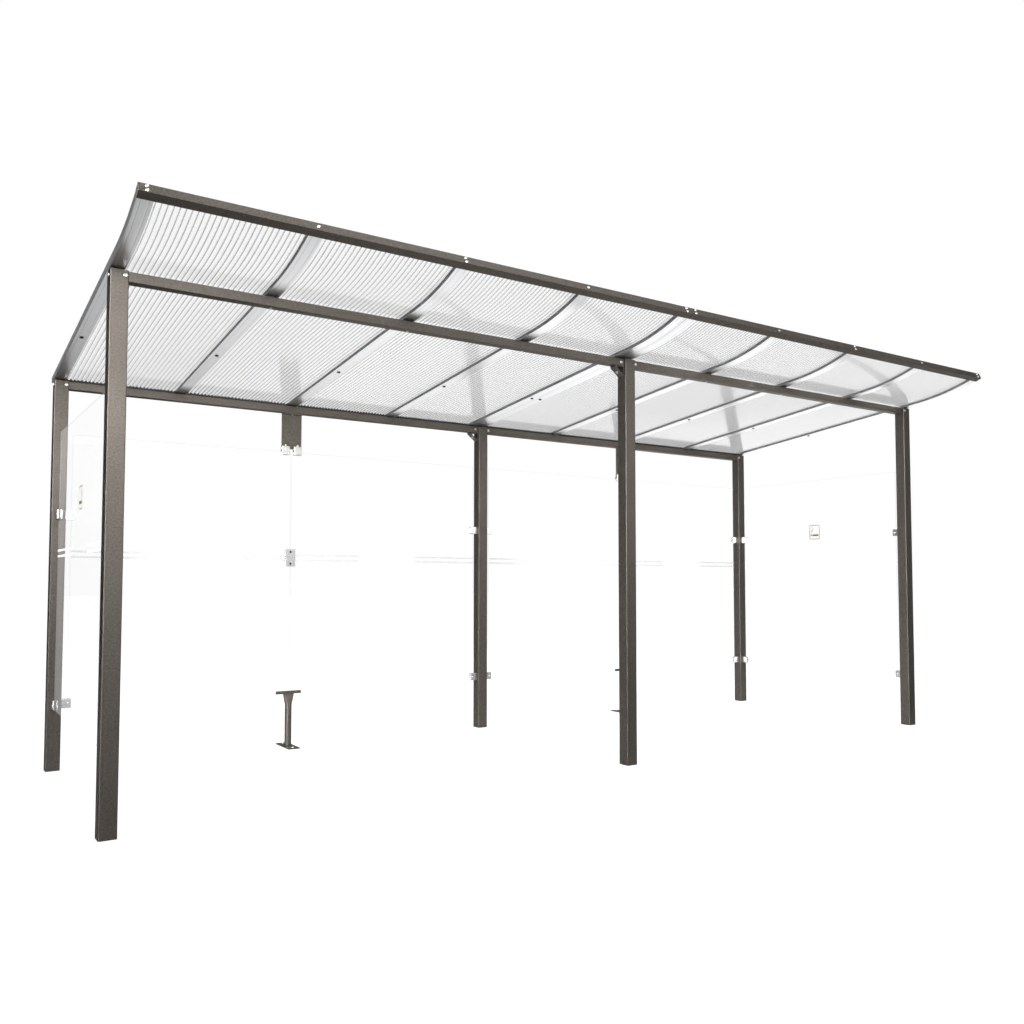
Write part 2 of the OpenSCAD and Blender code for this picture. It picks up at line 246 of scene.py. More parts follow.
def coordinates(tree, stretch=(1, 1, 1)):
    """Object coordinates, stretched along the axes."""
    source = tree.nodes.new("ShaderNodeTexCoord")
    mapping = tree.nodes.new("ShaderNodeMapping")
    mapping.inputs["Scale"].default_value = stretch
    tree.links.new(source.outputs["Object"], mapping.inputs["Vector"])
    return mapping.outputs["Vector"]


def bronze_paint():
    """Grey-brown metallic powder coat with a mottled, finely hammered surface."""
    made, tree, shader = node_set("bronze_paint")
    place = coordinates(tree)
    mottle = noise(tree, 130, 4, place)
    grain = noise(tree, 420, 3, place)
    cloud = noise(tree, 5, 2, place)
    varied(tree, mottle, (0.1, 0.088, 0.077), (0.156, 0.139, 0.123), shader.inputs["Base Color"])
    varied(tree, cloud, grey(0.34), grey(0.42), shader.inputs["Roughness"])
    shader.inputs["Metallic"].default_value = 0.35
    shader.inputs["Specular IOR Level"].default_value = 0.0
    bump(tree, grain, shader, 0.25, 0.0006)
    return made


def bar_aluminium():
    """Satin anodised aluminium, drawn along the bars."""
    made, tree, shader = node_set("bar_aluminium")
    drawn = noise(tree, 60, 3, coordinates(tree, (30, 0.6, 30)))
    varied(tree, drawn, (0.8, 0.81, 0.82), (0.9, 0.905, 0.91), shader.inputs["Base Color"])
    varied(tree, drawn, grey(0.26), grey(0.34), shader.inputs["Roughness"])
    shader.inputs["Metallic"].default_value = 1.0
    return made


def multiwall_sheet():
    """Clear glossy plastic of a sheet's underside, greyer in thin lines where the webs join it."""
    made, tree, shader = node_set("multiwall_sheet")
    source = tree.nodes.new("ShaderNodeTexCoord")
    across = tree.nodes.new("ShaderNodeSeparateXYZ")
    tree.links.new(source.outputs["Generated"], across.inputs[0])
    cell = value(tree, "PINGPONG", value(tree, "MULTIPLY", across.outputs["X"], SHEET_CELLS), 0.5)
    ramp(tree, cell, [(0.045, grey(0.46)), (0.12, grey(0.94))], shader.inputs["Base Color"])
    drawn = noise(tree, 40, 2, coordinates(tree, (20, 0.5, 20)))
    varied(tree, drawn, grey(0.1), grey(0.15), shader.inputs["Roughness"])
    shader.inputs["Transmission Weight"].default_value = 1.0
    shader.inputs["IOR"].default_value = 1.5
    shader.inputs["Alpha"].default_value = 0.8
    return made


def sheet_inner(name, dark, light, ior, alpha):
    """The same plastic inside a sheet and on its top, or its webs."""
    made, tree, shader = node_set(name)
    drawn = noise(tree, 40, 2, coordinates(tree, (20, 0.5, 20)))
    varied(tree, drawn, grey(dark), grey(light), shader.inputs["Base Color"])
    shader.inputs["Roughness"].default_value = 0.08
    shader.inputs["Transmission Weight"].default_value = 1.0
    shader.inputs["IOR"].default_value = ior
    shader.inputs["Alpha"].default_value = alpha
    return made


def pane_edge():
    """The ground edges of the panes, a thin greenish grey."""
    made, tree, shader = node_set("glass_edge")
    cloud = noise(tree, 1.5, 1, coordinates(tree))
    varied(tree, cloud, (0.04, 0.055, 0.05), (0.06, 0.08, 0.075), shader.inputs["Base Color"])
    shader.inputs["Roughness"].default_value = 0.03
    shader.inputs["Alpha"].default_value = 0.12
    return made


def pane_glass():
    """Clear toughened glass with a painted reflection: a pale grey glow, stronger at a glancing angle on its outer
    face, stands in for its white surroundings.
    """
    made, tree, shader = node_set("clear_glass")
    cloud = noise(tree, 1.5, 1, coordinates(tree))
    varied(tree, cloud, (0.55, 0.6, 0.59), (0.6, 0.65, 0.64), shader.inputs["Base Color"])
    # the emission colour is a painted reflection of the white surroundings
    varied(tree, cloud, grey(0.74), grey(0.78), shader.inputs["Emission Color"])
    glance = tree.nodes.new("ShaderNodeFresnel")
    glance.inputs["IOR"].default_value = 1.42
    side = tree.nodes.new("ShaderNodeNewGeometry")
    outer = value(tree, "SUBTRACT", 1.0, side.outputs["Backfacing"])
    shown = value(tree, "MULTIPLY", glance.outputs["Fac"], value(tree, "MULTIPLY", outer, 0.42))
    # the share of the painted glow rises at a glancing angle on the outer face
    tree.links.new(value(tree, "ADD", shown, 0.012), shader.inputs["Alpha"])
    shader.inputs["Emission Strength"].default_value = 1.0
    shader.inputs["Roughness"].default_value = 0.03
    return made


def stainless(name, dark, light):
    """Satin stainless steel with a brushed grain."""
    made, tree, shader = node_set(name)
    brushed = noise(tree, 90, 3, coordinates(tree, (1, 1, 14)))
    varied(tree, brushed, dark, light, shader.inputs["Base Color"])
    varied(tree, brushed, grey(0.22), grey(0.34), shader.inputs["Roughness"])
    shader.inputs["Metallic"].default_value = 1.0
    return made


def print_ink(name, dark, light, alpha, glow):
    """Screen print on the glass, with a painted glow of its own colour that makes it look lit."""
    made, tree, shader = node_set(name)
    grain = noise(tree, 900, 2, coordinates(tree))
    varied(tree, grain, dark, light, shader.inputs["Base Color"], shader.inputs["Emission Color"])
    # painted light: the print glows by the given strength, though it is no lamp
    shader.inputs["Emission Strength"].default_value = glow
    shader.inputs["Roughness"].default_value = 0.5
    shader.inputs["Alpha"].default_value = alpha
    return made


def rubber_pad():
    """Matte black rubber."""
    made, tree, shader = node_set("rubber_pad")
    grain = noise(tree, 500, 2, coordinates(tree))
    varied(tree, grain, grey(0.012), grey(0.03), shader.inputs["Base Color"])
    shader.inputs["Roughness"].default_value = 0.8
    return made


def dark_screw():
    """Blackened steel of the screws under the bars."""
    made, tree, shader = node_set("dark_screw")
    grain = noise(tree, 700, 2, coordinates(tree))
    varied(tree, grain, grey(0.02), grey(0.05), shader.inputs["Base Color"])
    shader.inputs["Specular IOR Level"].default_value = 0.2
    shader.inputs["Roughness"].default_value = 0.5
    return made


bronze = bronze_paint()
aluminium = bar_aluminium()
multiwall = multiwall_sheet()
sheet_skin = sheet_inner("sheet_skin", 0.95, 0.98, 1.03, 1.0)
sheet_web = sheet_inner("sheet_web", 0.9, 0.96, 1.5, 0.85)
glass = pane_glass()
glass_edge = pane_edge()
steel = stainless("stainless", (0.52, 0.52, 0.51), (0.66, 0.66, 0.65))
plate_steel = stainless("plate_steel", grey(0.52), grey(0.64))
rubber = rubber_pad()
blackened = dark_screw()
pale_ink = print_ink("pale_print", (0.7, 0.71, 0.72), (0.82, 0.83, 0.84), 0.35, 0.0)
# the white, frame and amber prints glow with painted light; the pale print does not
white_ink = print_ink("white_print", grey(0.86), grey(0.94), 0.9, 1.0)
frame_ink = print_ink("frame_print", (0.24, 0.19, 0.1), (0.33, 0.26, 0.14), 0.9, 0.35)
amber_ink = print_ink("amber_print", (0.15, 0.1, 0.015), (0.24, 0.16, 0.03), 0.95, 0.25)


# shapes


def keep(name, shape, material):
    """Makes an object of a bmesh, gives it its material and fixes it to the shelter."""
    mesh = bpy.data.meshes.new(name)
    shape.to_mesh(mesh)
    shape.free()
    mesh.materials.append(material)
    made = bpy.data.objects.new(name, mesh)
    bpy.context.scene.collection.objects.link(made)
    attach(made, "root")
    return made


def welded(name):
    """The mesh of a CAD node with its split faces joined."""
    node = nodes[name]
    shape = bmesh.new()
    shape.from_mesh(node.data)
    shape.transform(node.matrix_world)
    bmesh.ops.remove_doubles(shape, verts=shape.verts, dist=1e-6)
    bmesh.ops.dissolve_limit(shape, angle_limit=math.radians(0.2), verts=shape.verts, edges=shape.edges)
    return shape


def eased(name, material, width, segments=2, shape=None):
    """A welded copy of a CAD node with its hard edges eased, shown in the node's place."""
    shape = shape or welded(name)
    for face in shape.faces:
        face.smooth = True
    made = keep(name + "_eased", shape, material)
    bevel = made.modifiers.new("eased edges", "BEVEL")
    bevel.width = width
    bevel.segments = segments
    bevel.limit_method = "ANGLE"
    bevel.angle_limit = math.radians(30)
    even = made.modifiers.new("even normals", "WEIGHTED_NORMAL")
    even.weight = 100
    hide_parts(name)


def round_edges(shape, radius, chosen):
    """Rounds the edges that a test on their direction and middle chooses."""
    edges = []
    for edge in shape.edges:
        first, second = (vert.co for vert in edge.verts)
        if chosen((second - first).normalized(), (first + second) / 2):
            edges.append(edge)
    bmesh.ops.bevel(shape, geom=edges, offset=radius, segments=CORNER_STEPS, profile=0.5, affect="EDGES",
                    clamp_overlap=True)
    return shape


def tube_corner(along, middle):
    """Tells the outer upright corners of posts and heads."""
    off_x = min(abs(abs(middle.x - x) - post_r) for x in (x_left, x_mid, x_right))
    off_y = min(abs(abs(middle.y - y) - post_r) for y in (y_front, y_rear))
    return abs(along.z) > 0.99 and max(off_x, off_y) < 1e-4


def hanger_corner(along, middle):
    """Tells the lower corners of the hanger plates."""
    return abs(along.y) > 0.99 and abs(middle.z - hanger_foot) < 1e-5


def clear_pane(name):
    """A glass panel with ground edges."""
    shape = welded(name)
    bmesh.ops.bevel(shape, geom=shape.edges[:], offset=GLASS_EDGE, segments=1, affect="EDGES")
    largest = max(face.calc_area() for face in shape.faces)
    for face in shape.faces:
        face.material_index = 0 if face.calc_area() > largest / 2 else 1
    made = keep(name + "_pane", shape, glass)
    made.data.materials.append(glass_edge)
    made.visible_shadow = False
    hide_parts(name)


def clear_sheet(name):
    """Gives a roof sheet its materials: the underside, the other skins and the webs."""
    sheet = nodes[name]
    mesh = sheet.data
    mesh.materials.clear()
    for material in (multiwall, sheet_skin, sheet_web):
        mesh.materials.append(material)
    for face in mesh.polygons:
        across = [mesh.vertices[i].co.x for i in face.vertices]
        wide = max(across) - min(across) > 0.1
        if abs(face.normal.x) > 0.9:
            face.material_index = 2
        else:
            face.material_index = 0 if wide and face.normal.z < 0 else 1
    sheet.visible_shadow = False


def lathe(shape, profile, matrix):
    """Turns a profile of radius and height about local Z; a radius of zero at its ends closes the shape."""
    turns = [2 * math.pi * i / HEAD_SIDES for i in range(HEAD_SIDES)]
    rings = []
    for radius, height in profile:
        places = [(0, 0)] if radius == 0 else [(radius * math.cos(a), radius * math.sin(a)) for a in turns]
        rings.append([shape.verts.new(matrix @ Vector((x, y, height))) for x, y in places])
    for low, high in zip(rings, rings[1:]):
        for i in range(HEAD_SIDES):
            j = (i + 1) % HEAD_SIDES
            if len(low) == 1:
                face = (low[0], high[j], high[i])
            elif len(high) == 1:
                face = (low[i], low[j], high[0])
            else:
                face = (low[i], low[j], high[j], high[i])
            shape.faces.new(face).smooth = True


def screws(name, places, material):
    """One mesh of domed screw heads with sockets, sunk a little, at pairs of place and direction."""
    radius, height = HEADS[name]
    profile = [(0, -HEAD_SUNK), (radius, -HEAD_SUNK), (radius, height * 0.2),
               (radius * 0.93, height * 0.55), (radius * 0.75, height * 0.86), (radius * 0.52, height),
               (radius * 0.42, height * 0.96), (radius * 0.38, height * 0.4), (0, height * 0.36)]
    shape = bmesh.new()
    for place, out in places:
        lathe(shape, profile, Matrix.Translation(place) @ out.to_track_quat("Z", "Y").to_matrix().to_4x4())
    keep(name, shape, material)


def rounded(half_x, half_y, radius, steps):
    """Outline of a rectangle with round corners."""
    outline = []
    for k, (sx, sy) in enumerate(((1, 1), (-1, 1), (-1, -1), (1, -1))):
        for step in range(steps + 1):
            turn = (k + step / steps) * math.pi / 2
            outline.append((sx * (half_x - radius) + radius * math.cos(turn),
                            sy * (half_y - radius) + radius * math.sin(turn)))
    return outline


def prism(shape, first, second):
    """A solid between two outlines of as many points."""
    ends = [[shape.verts.new(point) for point in line] for line in (first, second)]
    shape.faces.new(ends[0])
    shape.faces.new(ends[1][::-1])
    for i in range(len(first)):
        j = (i + 1) % len(first)
        shape.faces.new((ends[0][j], ends[0][i], ends[1][i], ends[1][j]))


def ribbon(shape, points, width, matrix, closed=False):
    """A flat strip of ink along a line of local points, drawn in local X and Y."""
    count = len(points)
    rings = []
    for i, point in enumerate(points):
        before = points[i - 1] if closed or i > 0 else point
        after = points[(i + 1) % count] if closed or i < count - 1 else point
        along = (Vector(after) - Vector(before)).normalized()
        side = Vector((-along.y, along.x)) * width / 2
        ring = []
        for s, z in ((-1, 0), (1, 0), (1, INK_T), (-1, INK_T)):
            ring.append(shape.verts.new(matrix @ Vector((point[0] + s * side.x, point[1] + s * side.y, z))))
        rings.append(ring)
    for low, high in zip(rings, rings[1:] + rings[:1] if closed else rings[1:]):
        for i in range(4):
            j = (i + 1) % 4
            shape.faces.new((low[i], high[i], high[j], low[j]))
    if not closed:
        shape.faces.new(rings[0])
        shape.faces.new(rings[-1][::-1])


# CAD nodes

for key in ("front", "rear"):
    for part in ("left", "middle", "right"):
        name = "post_%s_%s" % (key, part)
        tube = round_edges(welded(name), TUBE_R, tube_corner)
        eased(name, bronze, EASED["tube"], shape=tube)
    for part in ("left", "right"):
        eased("purlin_%s_%s" % (key, part), bronze, EASED["purlin"], 4)
    tube = round_edges(welded("heads_" + key), TUBE_R, tube_corner)
    eased("heads_" + key, bronze, EASED["tube"], shape=tube)
for part in ("left", "right"):
    eased("front_beam_" + part, bronze, EASED["beam"])
    eased("stand_" + part, bronze, EASED["stand"])
    eased("bars_" + part, aluminium, EASED["bar"])
    for i in range(BAYS):
        clear_sheet("sheet_%s_%d" % (part, i + 1))
eased("knee_brackets", bronze, EASED["knee"])
eased("seat_pads", rubber, EASED["pad"])
plates = round_edges(welded("hangers"), HANGER_R, hanger_corner)
eased("hangers", bronze, EASED["hanger"], shape=plates)
for name in ("clamps_lower", "clamps_upper", "hanger_clamps"):
    eased(name, steel, EASED["clamp"], 3)
eased("joint_plates", plate_steel, EASED["plate"])
for key in ("end_left", "end_right", "rear_1", "rear_2", "rear_3", "rear_4"):
    clear_pane("glass_" + key)


# fasteners, seals, and dark strips and rings of painted reflection and shade


def beam_screws():
    """Screws of the front beam: two at the ends and in the middle of a module, one at the other bars."""
    origin, back, up = beam_frame()
    face = origin - back * BEAM_WALL + up * BAR_H / 2
    places = []
    for side in (-1, 1):
        for i, x in enumerate(bar_places(side)):
            for step in ((-BEAM_PAIR, BEAM_PAIR) if i % 2 == 0 else (0,)):
                places.append((face + X * x + up * step, -back))
    screws("screws_front_beam", places, steel)


def roof_screws():
    """Dark screws under the bars at mid-span, and a screw with a washer under the purlins at each bar."""
    down = -Vector((0, math.sin(slope), math.cos(slope)))
    y = (y_front + y_rear) / 2 + BAR_SCREW_BACK
    bars = [x for side in (-1, 1) for x in bar_places(side)]
    screws("screws_bars", [(Vector((x, y, roof_z(y))), down) for x in bars], blackened)
    inner = [x for x in bars if 2 * BAR_W < abs(x) < x_right - BAR_W]
    under = [(Vector((x, row, low)), -Z) for x in inner for key, row, low in rows]
    screws("washers_purlins", under, blackened)
    screws("screws_purlins", [(place - Z * WASHER_SEAT, out) for place, out in under], steel)


def post_screws():
    """Screws that hold purlins and knee brackets at the posts, and the heads of the clamps' bolts."""
    purlin = []
    dots = []
    for key, row, low in rows:
        z = low + PURLIN_UP
        face = row - PURLIN_D / 2
        purlin.append((Vector((x_mid - post_r - PURLIN_LEFT, face, z)), -Y))
        purlin.append((Vector((x_mid + post_r + PURLIN_RIGHT, face, z)), -Y))
        purlin.append((Vector((x_mid - post_r - KNEE_MIDDLE, row, low - KNEE_MIDDLE)), KNEE_OUT))
        for side in (-1, 1):
            purlin.append((Vector((side * (x_right - PURLIN_END), row - post_r, z)), -Y))
            purlin.append((Vector((side * (x_right + post_r), row, z)), X * side))
        out = -Y if key == "front" else Y
        for side in (-1, 1):
            for level in clamp_levels:
                dots.append((Vector((side * x_right, row + out.y * post_r, level)), out))
                if key == "rear":
                    dots.append((Vector((side * (x_right + post_r), row, level)), X * side))
    screws("screws_heads", purlin, steel)
    screws("bolts_posts", dots, bronze)


def clamp_screws():
    """One screw in each outer face of a glass clamp."""
    places = []
    reach = post_r + CLAMP_BOLT
    for z in clamp_levels:
        for side in (-1, 1):
            for out in (-Y, Y):
                places.append((Vector((side * (x_right - reach), y_rear, z)) + out * CLAMP_T / 2, out))
                places.append((Vector((x_mid + side * reach, y_rear, z)) + out * CLAMP_T / 2, out))
            for out in (-X, X):
                places.append((Vector((side * x_right, y_rear - reach, z)) + out * CLAMP_T / 2, out))
                places.append((Vector((side * x_right, y_front + reach, z)) + out * CLAMP_T / 2, out))
    screws("screws_clamps", places, steel)


def joint_screws():
    """Screws of the joint plates, the hangers and their clamps, and the bolts of the floor stands."""
    plate_low, plate_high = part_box("joint_plates")
    middle = (plate_low.z + plate_high.z) / 2
    paired = []
    small = []
    bolts = []
    hanging = []
    for x in (-x_joint, x_joint):
        for out, face in ((-Y, plate_low.y), (Y, plate_high.y)):
            for dz in (-PLATE_PAIR, PLATE_PAIR):
                paired.append((Vector((x, face, middle + dz)), out))
        for dx in (-1, 1):
            place = x + dx * (HANGER_W - GRIP_W) / 2
            for out in (-Y, Y):
                hanging.append((Vector((place, y_rear + out.y * HANGER_T / 2, hanger_foot + HANGER_UP)), out))
                small.append((Vector((place, y_rear + out.y * CLAMP_T / 2, glass_high.z - GRIP_DOWN)), out))
            bolts.append((Vector((x, y_rear + dx * STAND_BOLT, STAND_PLATE)), Z))
        hanging.append((Vector((x, y_rear - PURLIN_D / 4, rear_clear - HANGER_T)), -Z))
    screws("bolts_joints", paired, blackened)
    screws("screws_grips", small, steel)
    screws("screws_hangers", hanging, steel)
    screws("bolts_stands", bolts, steel)


def liners():
    """Black rubber at the bottom of the clamps' slots."""
    shape = bmesh.new()
    thick = glass_low.x - (x_left + post_r) - CLAMP_ROOT - LINER_CLEAR
    reach = post_r + CLAMP_ROOT + LINER_CLEAR / 2
    tall = Z * (CLAMP_H / 2 - 0.001)
    sides = [(x_left, y_rear, X), (x_left, y_rear, -Y), (x_mid, y_rear, -X), (x_mid, y_rear, X),
             (x_right, y_rear, -X), (x_right, y_rear, -Y), (x_left, y_front, Y), (x_right, y_front, Y)]
    for z in clamp_levels:
        for x, y, out in sides:
            start = Vector((x, y, z)) + out * reach
            across = out.cross(Z) * (glass_t / 2 - LINER_CLEAR)
            line = [start + across * a + tall * b for a, b in ((-1, -1), (1, -1), (1, 1), (-1, 1))]
            prism(shape, line, [point + out * thick for point in line])
    bmesh.ops.recalc_face_normals(shape, faces=shape.faces)
    keep("clamp_liners", shape, rubber)


def painted_purlin_reflections():
    """Black toothed strips between the rear purlins and the sheets, one to a bay: a painted reflection of the
    purlins' shaded tops in the sheets.
    """
    shape = bmesh.new()
    tall = PAD_T + BAR_BASE / math.cos(slope) - 2 * STRIP_CLEAR
    for side in (-1, 1):
        bars = bar_places(side)
        for left, right in zip(bars, bars[1:]):
            start = left + BAR_W / 2 + STRIP_CLEAR
            step = (right - BAR_W / 2 - STRIP_CLEAR - start) / (2 * SHEET_CELLS + 1)
            line = [(start, 0.0), (start + (2 * SHEET_CELLS + 1) * step, 0.0)]
            for i in range(SHEET_CELLS, -1, -1):
                base = start + 2 * i * step
                line += [(base + step, 1.0), (base, 1.0)]
                if i > 0:
                    line += [(base, STRIP_NOTCH), (base - step, STRIP_NOTCH)]
            faces = []
            for y in (y_rear - PURLIN_D / 2 + STRIP_CLEAR, y_rear - PURLIN_D / 4):
                foot = roof_z(y) - PAD_T + STRIP_CLEAR
                faces.append([(x, y, foot + h * tall) for x, h in line])
            prism(shape, *faces)
    bmesh.ops.recalc_face_normals(shape, faces=shape.faces)
    # black strips that paint the reflection of the purlins' shaded tops in the sheets
    keep("painted_purlin_reflections", shape, rubber)


def joint_lines():
    """Dark rings in the joints between heads and posts, a little behind the faces: painted shade of the seams."""
    shape = bmesh.new()
    half = post_r - JOINT_BEHIND
    outer = rounded(half, half, TUBE_R, 4)
    inner = [(a * (half - JOINT_T) / half, b * (half - JOINT_T) / half) for a, b in outer]
    count = len(outer)
    for key, row, low in rows:
        for part, x in columns:
            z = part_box("post_%s_%s" % (key, part))[1].z
            place = Vector((x, row, z - JOINT_H / 2))
            rings = [[shape.verts.new(place + Vector((a, b, h))) for a, b in line]
                     for line, h in ((outer, 0), (outer, JOINT_H), (inner, JOINT_H), (inner, 0))]
            for first, second in zip(rings, rings[1:] + rings[:1]):
                for i in range(count):
                    j = (i + 1) % count
                    shape.faces.new((first[i], first[j], second[j], second[i]))
    # black rings that paint the shade in the seams between heads and posts
    keep("joint_shade_rings", shape, rubber)


beam_screws()
roof_screws()
post_screws()
clamp_screws()
joint_screws()
liners()
painted_purlin_reflections()
joint_lines()


# printed marks on the glass


def on_end_pane(name, side, y, z):
    """Matrix that lays a drawing on the outer face of an end pane, upright."""
    low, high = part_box(name)
    face = low.x if side < 0 else high.x
    turned = Matrix(((0, 0, side, 0), (side, 0, 0, 0), (0, 1, 0, 0), (0, 0, 0, 1)))
    return Matrix.Translation(Vector((face, y, z))) @ turned


def stripe_pair(shape, low, high, place):
    """Two thin stripes from edge to edge of a pane, left out round its middle."""
    middle = (low + high) / 2
    for z in STRIPE_LEVELS:
        for a, b in ((low + STRIPE_END, middle - STRIPE_BARE), (middle + STRIPE_BARE, high - STRIPE_END)):
            ribbon(shape, [(a, z), (b, z)], STRIPE_W, place)


def stripes():
    """Grey stripes on the rear panes and white ones on the end panes."""
    rear = bmesh.new()
    for i in range(1, 5):
        low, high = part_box("glass_rear_%d" % i)
        place = Matrix.Translation(Vector((0, low.y, 0))) @ Matrix.Rotation(math.pi / 2, 4, "X")
        stripe_pair(rear, low.x, high.x, place)
    ends = bmesh.new()
    for name, side in end_panes:
        low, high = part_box(name)
        first, last = sorted((side * low.y, side * high.y))
        stripe_pair(ends, first, last, on_end_pane(name, side, 0, 0))
    for name, shape, ink in (("stripes", rear, pale_ink), ("stripes_ends", ends, white_ink)):
        keep(name, shape, ink).visible_shadow = False


def pictograms():
    """A plain smoking sign on each end pane: rounded frame, cigarette and smoke."""
    outline = rounded(*SIGN_HALF, SIGN_R, 6)
    smoke = []
    for step in range(25):
        rise = step / 24
        wave = 0.008 * math.sin(rise * 2 * math.pi) * (1 - 0.3 * rise)
        smoke.append((0.02 + wave, -0.006 + 0.042 * rise))
    lines = bmesh.new()
    bars = bmesh.new()
    for name, side in end_panes:
        low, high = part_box(name)
        place = on_end_pane(name, side, (low.y + high.y) / 2, SIGN_Z)
        ribbon(lines, outline, SIGN_LINE, place, closed=True)
        ribbon(lines, smoke, SIGN_LINE, place)
        ribbon(lines, [(0.021, CIGARETTE_Z), (0.034, CIGARETTE_Z)], CIGARETTE_W, place)
        ribbon(bars, [(-0.034, CIGARETTE_Z), (0.018, CIGARETTE_Z)], CIGARETTE_W, place)
    for name, shape, ink in (("sign_lines", lines, frame_ink), ("sign_bars", bars, amber_ink)):
        keep(name, shape, ink).visible_shadow = False


stripes()
pictograms()


# stage, lamps and camera


def stage_sheet(name, corners, material):
    """A flat sheet of the stage."""
    mesh = bpy.data.meshes.new(name)
    mesh.from_pydata(corners, [], [(0, 1, 2, 3)])
    mesh.materials.append(material)
    made = bpy.data.objects.new(name, mesh)
    bpy.context.scene.collection.objects.link(made)
    return made


def graded(tree, source, low, high, start, end):
    """A value that runs evenly from start to end while its source runs from low to high."""
    made = tree.nodes.new("ShaderNodeMapRange")
    for name, given in (("From Min", low), ("From Max", high), ("To Min", start), ("To Max", end)):
        made.inputs[name].default_value = given
    tree.links.new(source, made.inputs["Value"])
    return made.outputs["Result"]


def mixed(tree, factor, first, second):
    """A mix of two shaders."""
    made = tree.nodes.new("ShaderNodeMixShader")
    tree.links.new(factor, made.inputs[0])
    tree.links.new(first.outputs[0], made.inputs[1])
    tree.links.new(second.outputs[0], made.inputs[2])
    return made


def ray_kinds(tree):
    """Three values: 1 for rays that show the surroundings, for those in a mirror, for the camera's own."""
    path = tree.nodes.new("ShaderNodeLightPath")
    shown = value(tree, "MAXIMUM", path.outputs["Is Camera Ray"], path.outputs["Is Glossy Ray"])
    shown = value(tree, "MAXIMUM", shown, path.outputs["Is Transmission Ray"])
    first = value(tree, "LESS_THAN", path.outputs["Diffuse Depth"], 0.5)
    return value(tree, "MULTIPLY", shown, first), path.outputs["Is Glossy Ray"], path.outputs["Is Camera Ray"]


def white_floor():
    """Pale floor that keeps a soft shadow; to mirrors and as a source of light it is darker at the left."""
    material = bpy.data.materials.new("floor")
    material.use_nodes = True
    tree = material.node_tree
    tree.nodes.clear()
    end = tree.nodes.new("ShaderNodeOutputMaterial")
    place = tree.nodes.new("ShaderNodeTexCoord")
    axes = tree.nodes.new("ShaderNodeSeparateXYZ")
    far = tree.nodes.new("ShaderNodeVectorMath")
    far.operation = "LENGTH"
    tree.links.new(place.outputs["Object"], axes.inputs[0])
    tree.links.new(place.outputs["Object"], far.inputs[0])
    shown, mirrored, _ = ray_kinds(tree)
    glow = tree.nodes.new("ShaderNodeEmission")
    tree.links.new(graded(tree, far.outputs["Value"], 4.0, 9.0, 0.93, 1.0), glow.inputs["Strength"])
    pale = tree.nodes.new("ShaderNodeBsdfDiffuse")
    pale.inputs["Color"].default_value = (*grey(0.5), 1)
    seen = tree.nodes.new("ShaderNodeAddShader")
    tree.links.new(glow.outputs[0], seen.inputs[0])
    tree.links.new(pale.outputs[0], seen.inputs[1])
    image = tree.nodes.new("ShaderNodeEmission")
    along = graded(tree, axes.outputs["X"], -3.0, 1.0, 0.3, 1.35)
    inside = graded(tree, axes.outputs["Y"], -1.0, -0.2, 0.08, 1.0)
    tree.links.new(value(tree, "MULTIPLY", along, inside), image.inputs["Strength"])
    dull = tree.nodes.new("ShaderNodeBsdfDiffuse")
    tree.links.new(graded(tree, axes.outputs["X"], -2.0, 2.0, 0.02, 0.7), dull.inputs["Color"])
    chosen = mixed(tree, shown, dull, mixed(tree, mirrored, seen, image))
    tree.links.new(chosen.outputs[0], end.inputs["Surface"])
    reach = 60
    depth = -0.0004
    stage_sheet("floor", [(x * reach, y * reach, depth) for x, y in ((-1, -1), (1, -1), (1, 1), (-1, 1))], material)


def dark_card():
    """A dark card behind the shelter that only mirrors see, for the purlins' dark undersides."""
    material, tree, shader = node_set("card")
    shader.inputs["Base Color"].default_value = (*grey(0.01), 1)
    shader.inputs["Specular IOR Level"].default_value = 0.0
    left, right, back, top = -6, 5, 5.7, 2.3
    corners = [(left, back, 0), (right, back, 0), (right, back, top), (left, back, top)]
    made = stage_sheet("card", corners, material)
    made.visible_camera = False
    made.visible_diffuse = False
    made.visible_transmission = False
    made.visible_shadow = False


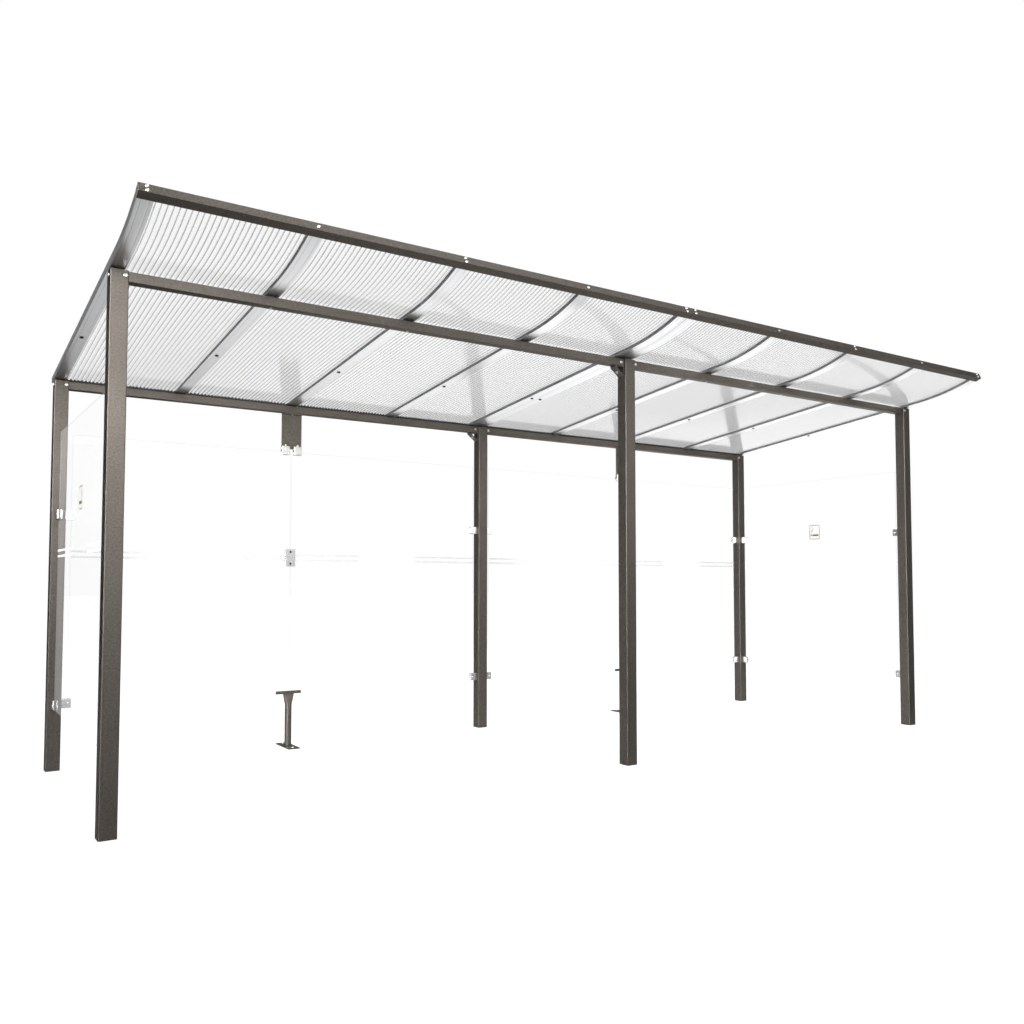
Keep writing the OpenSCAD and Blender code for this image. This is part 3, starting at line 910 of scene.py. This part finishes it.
def white_world():
    """White surroundings, dim as a source of light. Mirrors and the roof's plastic see them darker at the
    left of the rear and the right of the front, and a bright strip at the front left."""
    world = bpy.data.worlds.new("white")
    bpy.context.scene.world = world
    world.use_nodes = True
    tree = world.node_tree
    tree.nodes.clear()
    end = tree.nodes.new("ShaderNodeOutputWorld")
    place = tree.nodes.new("ShaderNodeTexCoord")
    axes = tree.nodes.new("ShaderNodeSeparateXYZ")
    tree.links.new(place.outputs["Generated"], axes.inputs[0])
    east = axes.outputs["X"]
    north = axes.outputs["Y"]
    shown, mirrored, straight = ray_kinds(tree)
    light = tree.nodes.new("ShaderNodeBackground")
    light.inputs["Strength"].default_value = 0.1
    light.inputs["Color"].default_value = (*grey(1), 1)
    seen = tree.nodes.new("ShaderNodeBackground")
    seen.inputs["Color"].default_value = (*grey(1), 1)
    through = value(tree, "SUBTRACT", 1.0, mirrored)
    far_left = value(tree, "MULTIPLY", graded(tree, east, -0.62, -0.45, 0.85, 0.0), through)
    left = value(tree, "MAXIMUM", graded(tree, east, -0.15, 0.0, 0.12, 1.0), far_left)
    left = value(tree, "MAXIMUM", left, graded(tree, east, -0.85, -0.77, 0.6, 0.0))
    rear = value(tree, "GREATER_THAN", north, 0.0)
    front = graded(tree, east, 0.45, 0.75, 1.0, 0.12)
    bright = value(tree, "ADD", value(tree, "MULTIPLY", left, rear),
                   value(tree, "MULTIPLY", front, value(tree, "SUBTRACT", 1.0, rear)))
    corner = value(tree, "MULTIPLY", graded(tree, east, -0.62, -0.48, 28.0, 0.0),
                   graded(tree, north, -0.4, -0.1, 1.0, 0.0))
    shining = value(tree, "ADD", value(tree, "MAXIMUM", bright, straight), corner)
    tree.links.new(shining, seen.inputs["Strength"])
    tree.links.new(mixed(tree, shown, light, seen).outputs[0], end.inputs["Surface"])


def area_lamp(name, place, target, size, power, spread, mirrored):
    """A rectangular lamp at a place, turned to a target, with its spread in degrees."""
    data = bpy.data.lights.new(name, "AREA")
    data.shape = "RECTANGLE"
    data.size, data.size_y = size
    data.energy = power
    data.spread = math.radians(spread)
    made = bpy.data.objects.new(name, data)
    made.location = place
    made.rotation_euler = (Vector(target) - Vector(place)).to_track_quat("-Z", "Y").to_euler()
    made.visible_camera = False
    made.visible_transmission = False
    made.visible_glossy = mirrored
    bpy.context.scene.collection.objects.link(made)


def camera():
    """Camera fitted to the photo."""
    data = bpy.data.cameras.new("camera")
    data.sensor_width = 36
    data.lens = 32.15
    data.shift_x = 0.00914
    data.shift_y = 0.02536
    made = bpy.data.objects.new("camera", data)
    made.location = (-3.1155, -4.1333, 0.9374)
    made.rotation_euler = (math.radians(92.739), math.radians(-0.07), math.radians(-33.292))
    bpy.context.scene.collection.objects.link(made)
    bpy.context.scene.camera = made


white_floor()
dark_card()
white_world()
# lamps: name, place, target, size, power in watts, spread in degrees, seen in mirrors
area_lamp("front_left", (-2.0, -8.0, 3.2), (-2.0, 0, 3.2), (4.0, 3.0), 92, 75, True)
area_lamp("front_right", (6.5, -8.0, 3.2), (0, 0, 2.0), (4.0, 3.0), 13, 55, True)
area_lamp("inside_left", (-2.2, 0.2, 1.0), (0, 0.2, 1.0), (1.2, 1.4), 19, 150, False)
area_lamp("inside_right", (0.2, 0.2, 1.0), (2.4, 0.2, 1.0), (1.2, 1.4), 18, 150, False)
area_lamp("over", (0.5, -2.4, 5.6), (0.7, -1.0, 2.2), (4.5, 1.6), 24, 120, True)
area_lamp("rear", (3.6, 5.2, 4.2), (0, 0.4, 1.2), (2.0, 2.0), 200, 180, False)
camera()

scene = bpy.context.scene
scene.view_settings.view_transform = "Standard"
scene.cycles.max_bounces = 24
scene.cycles.transmission_bounces = 24
scene.cycles.transparent_max_bounces = 24
scene.cycles.glossy_bounces = 8
scene.cycles.diffuse_bounces = 3
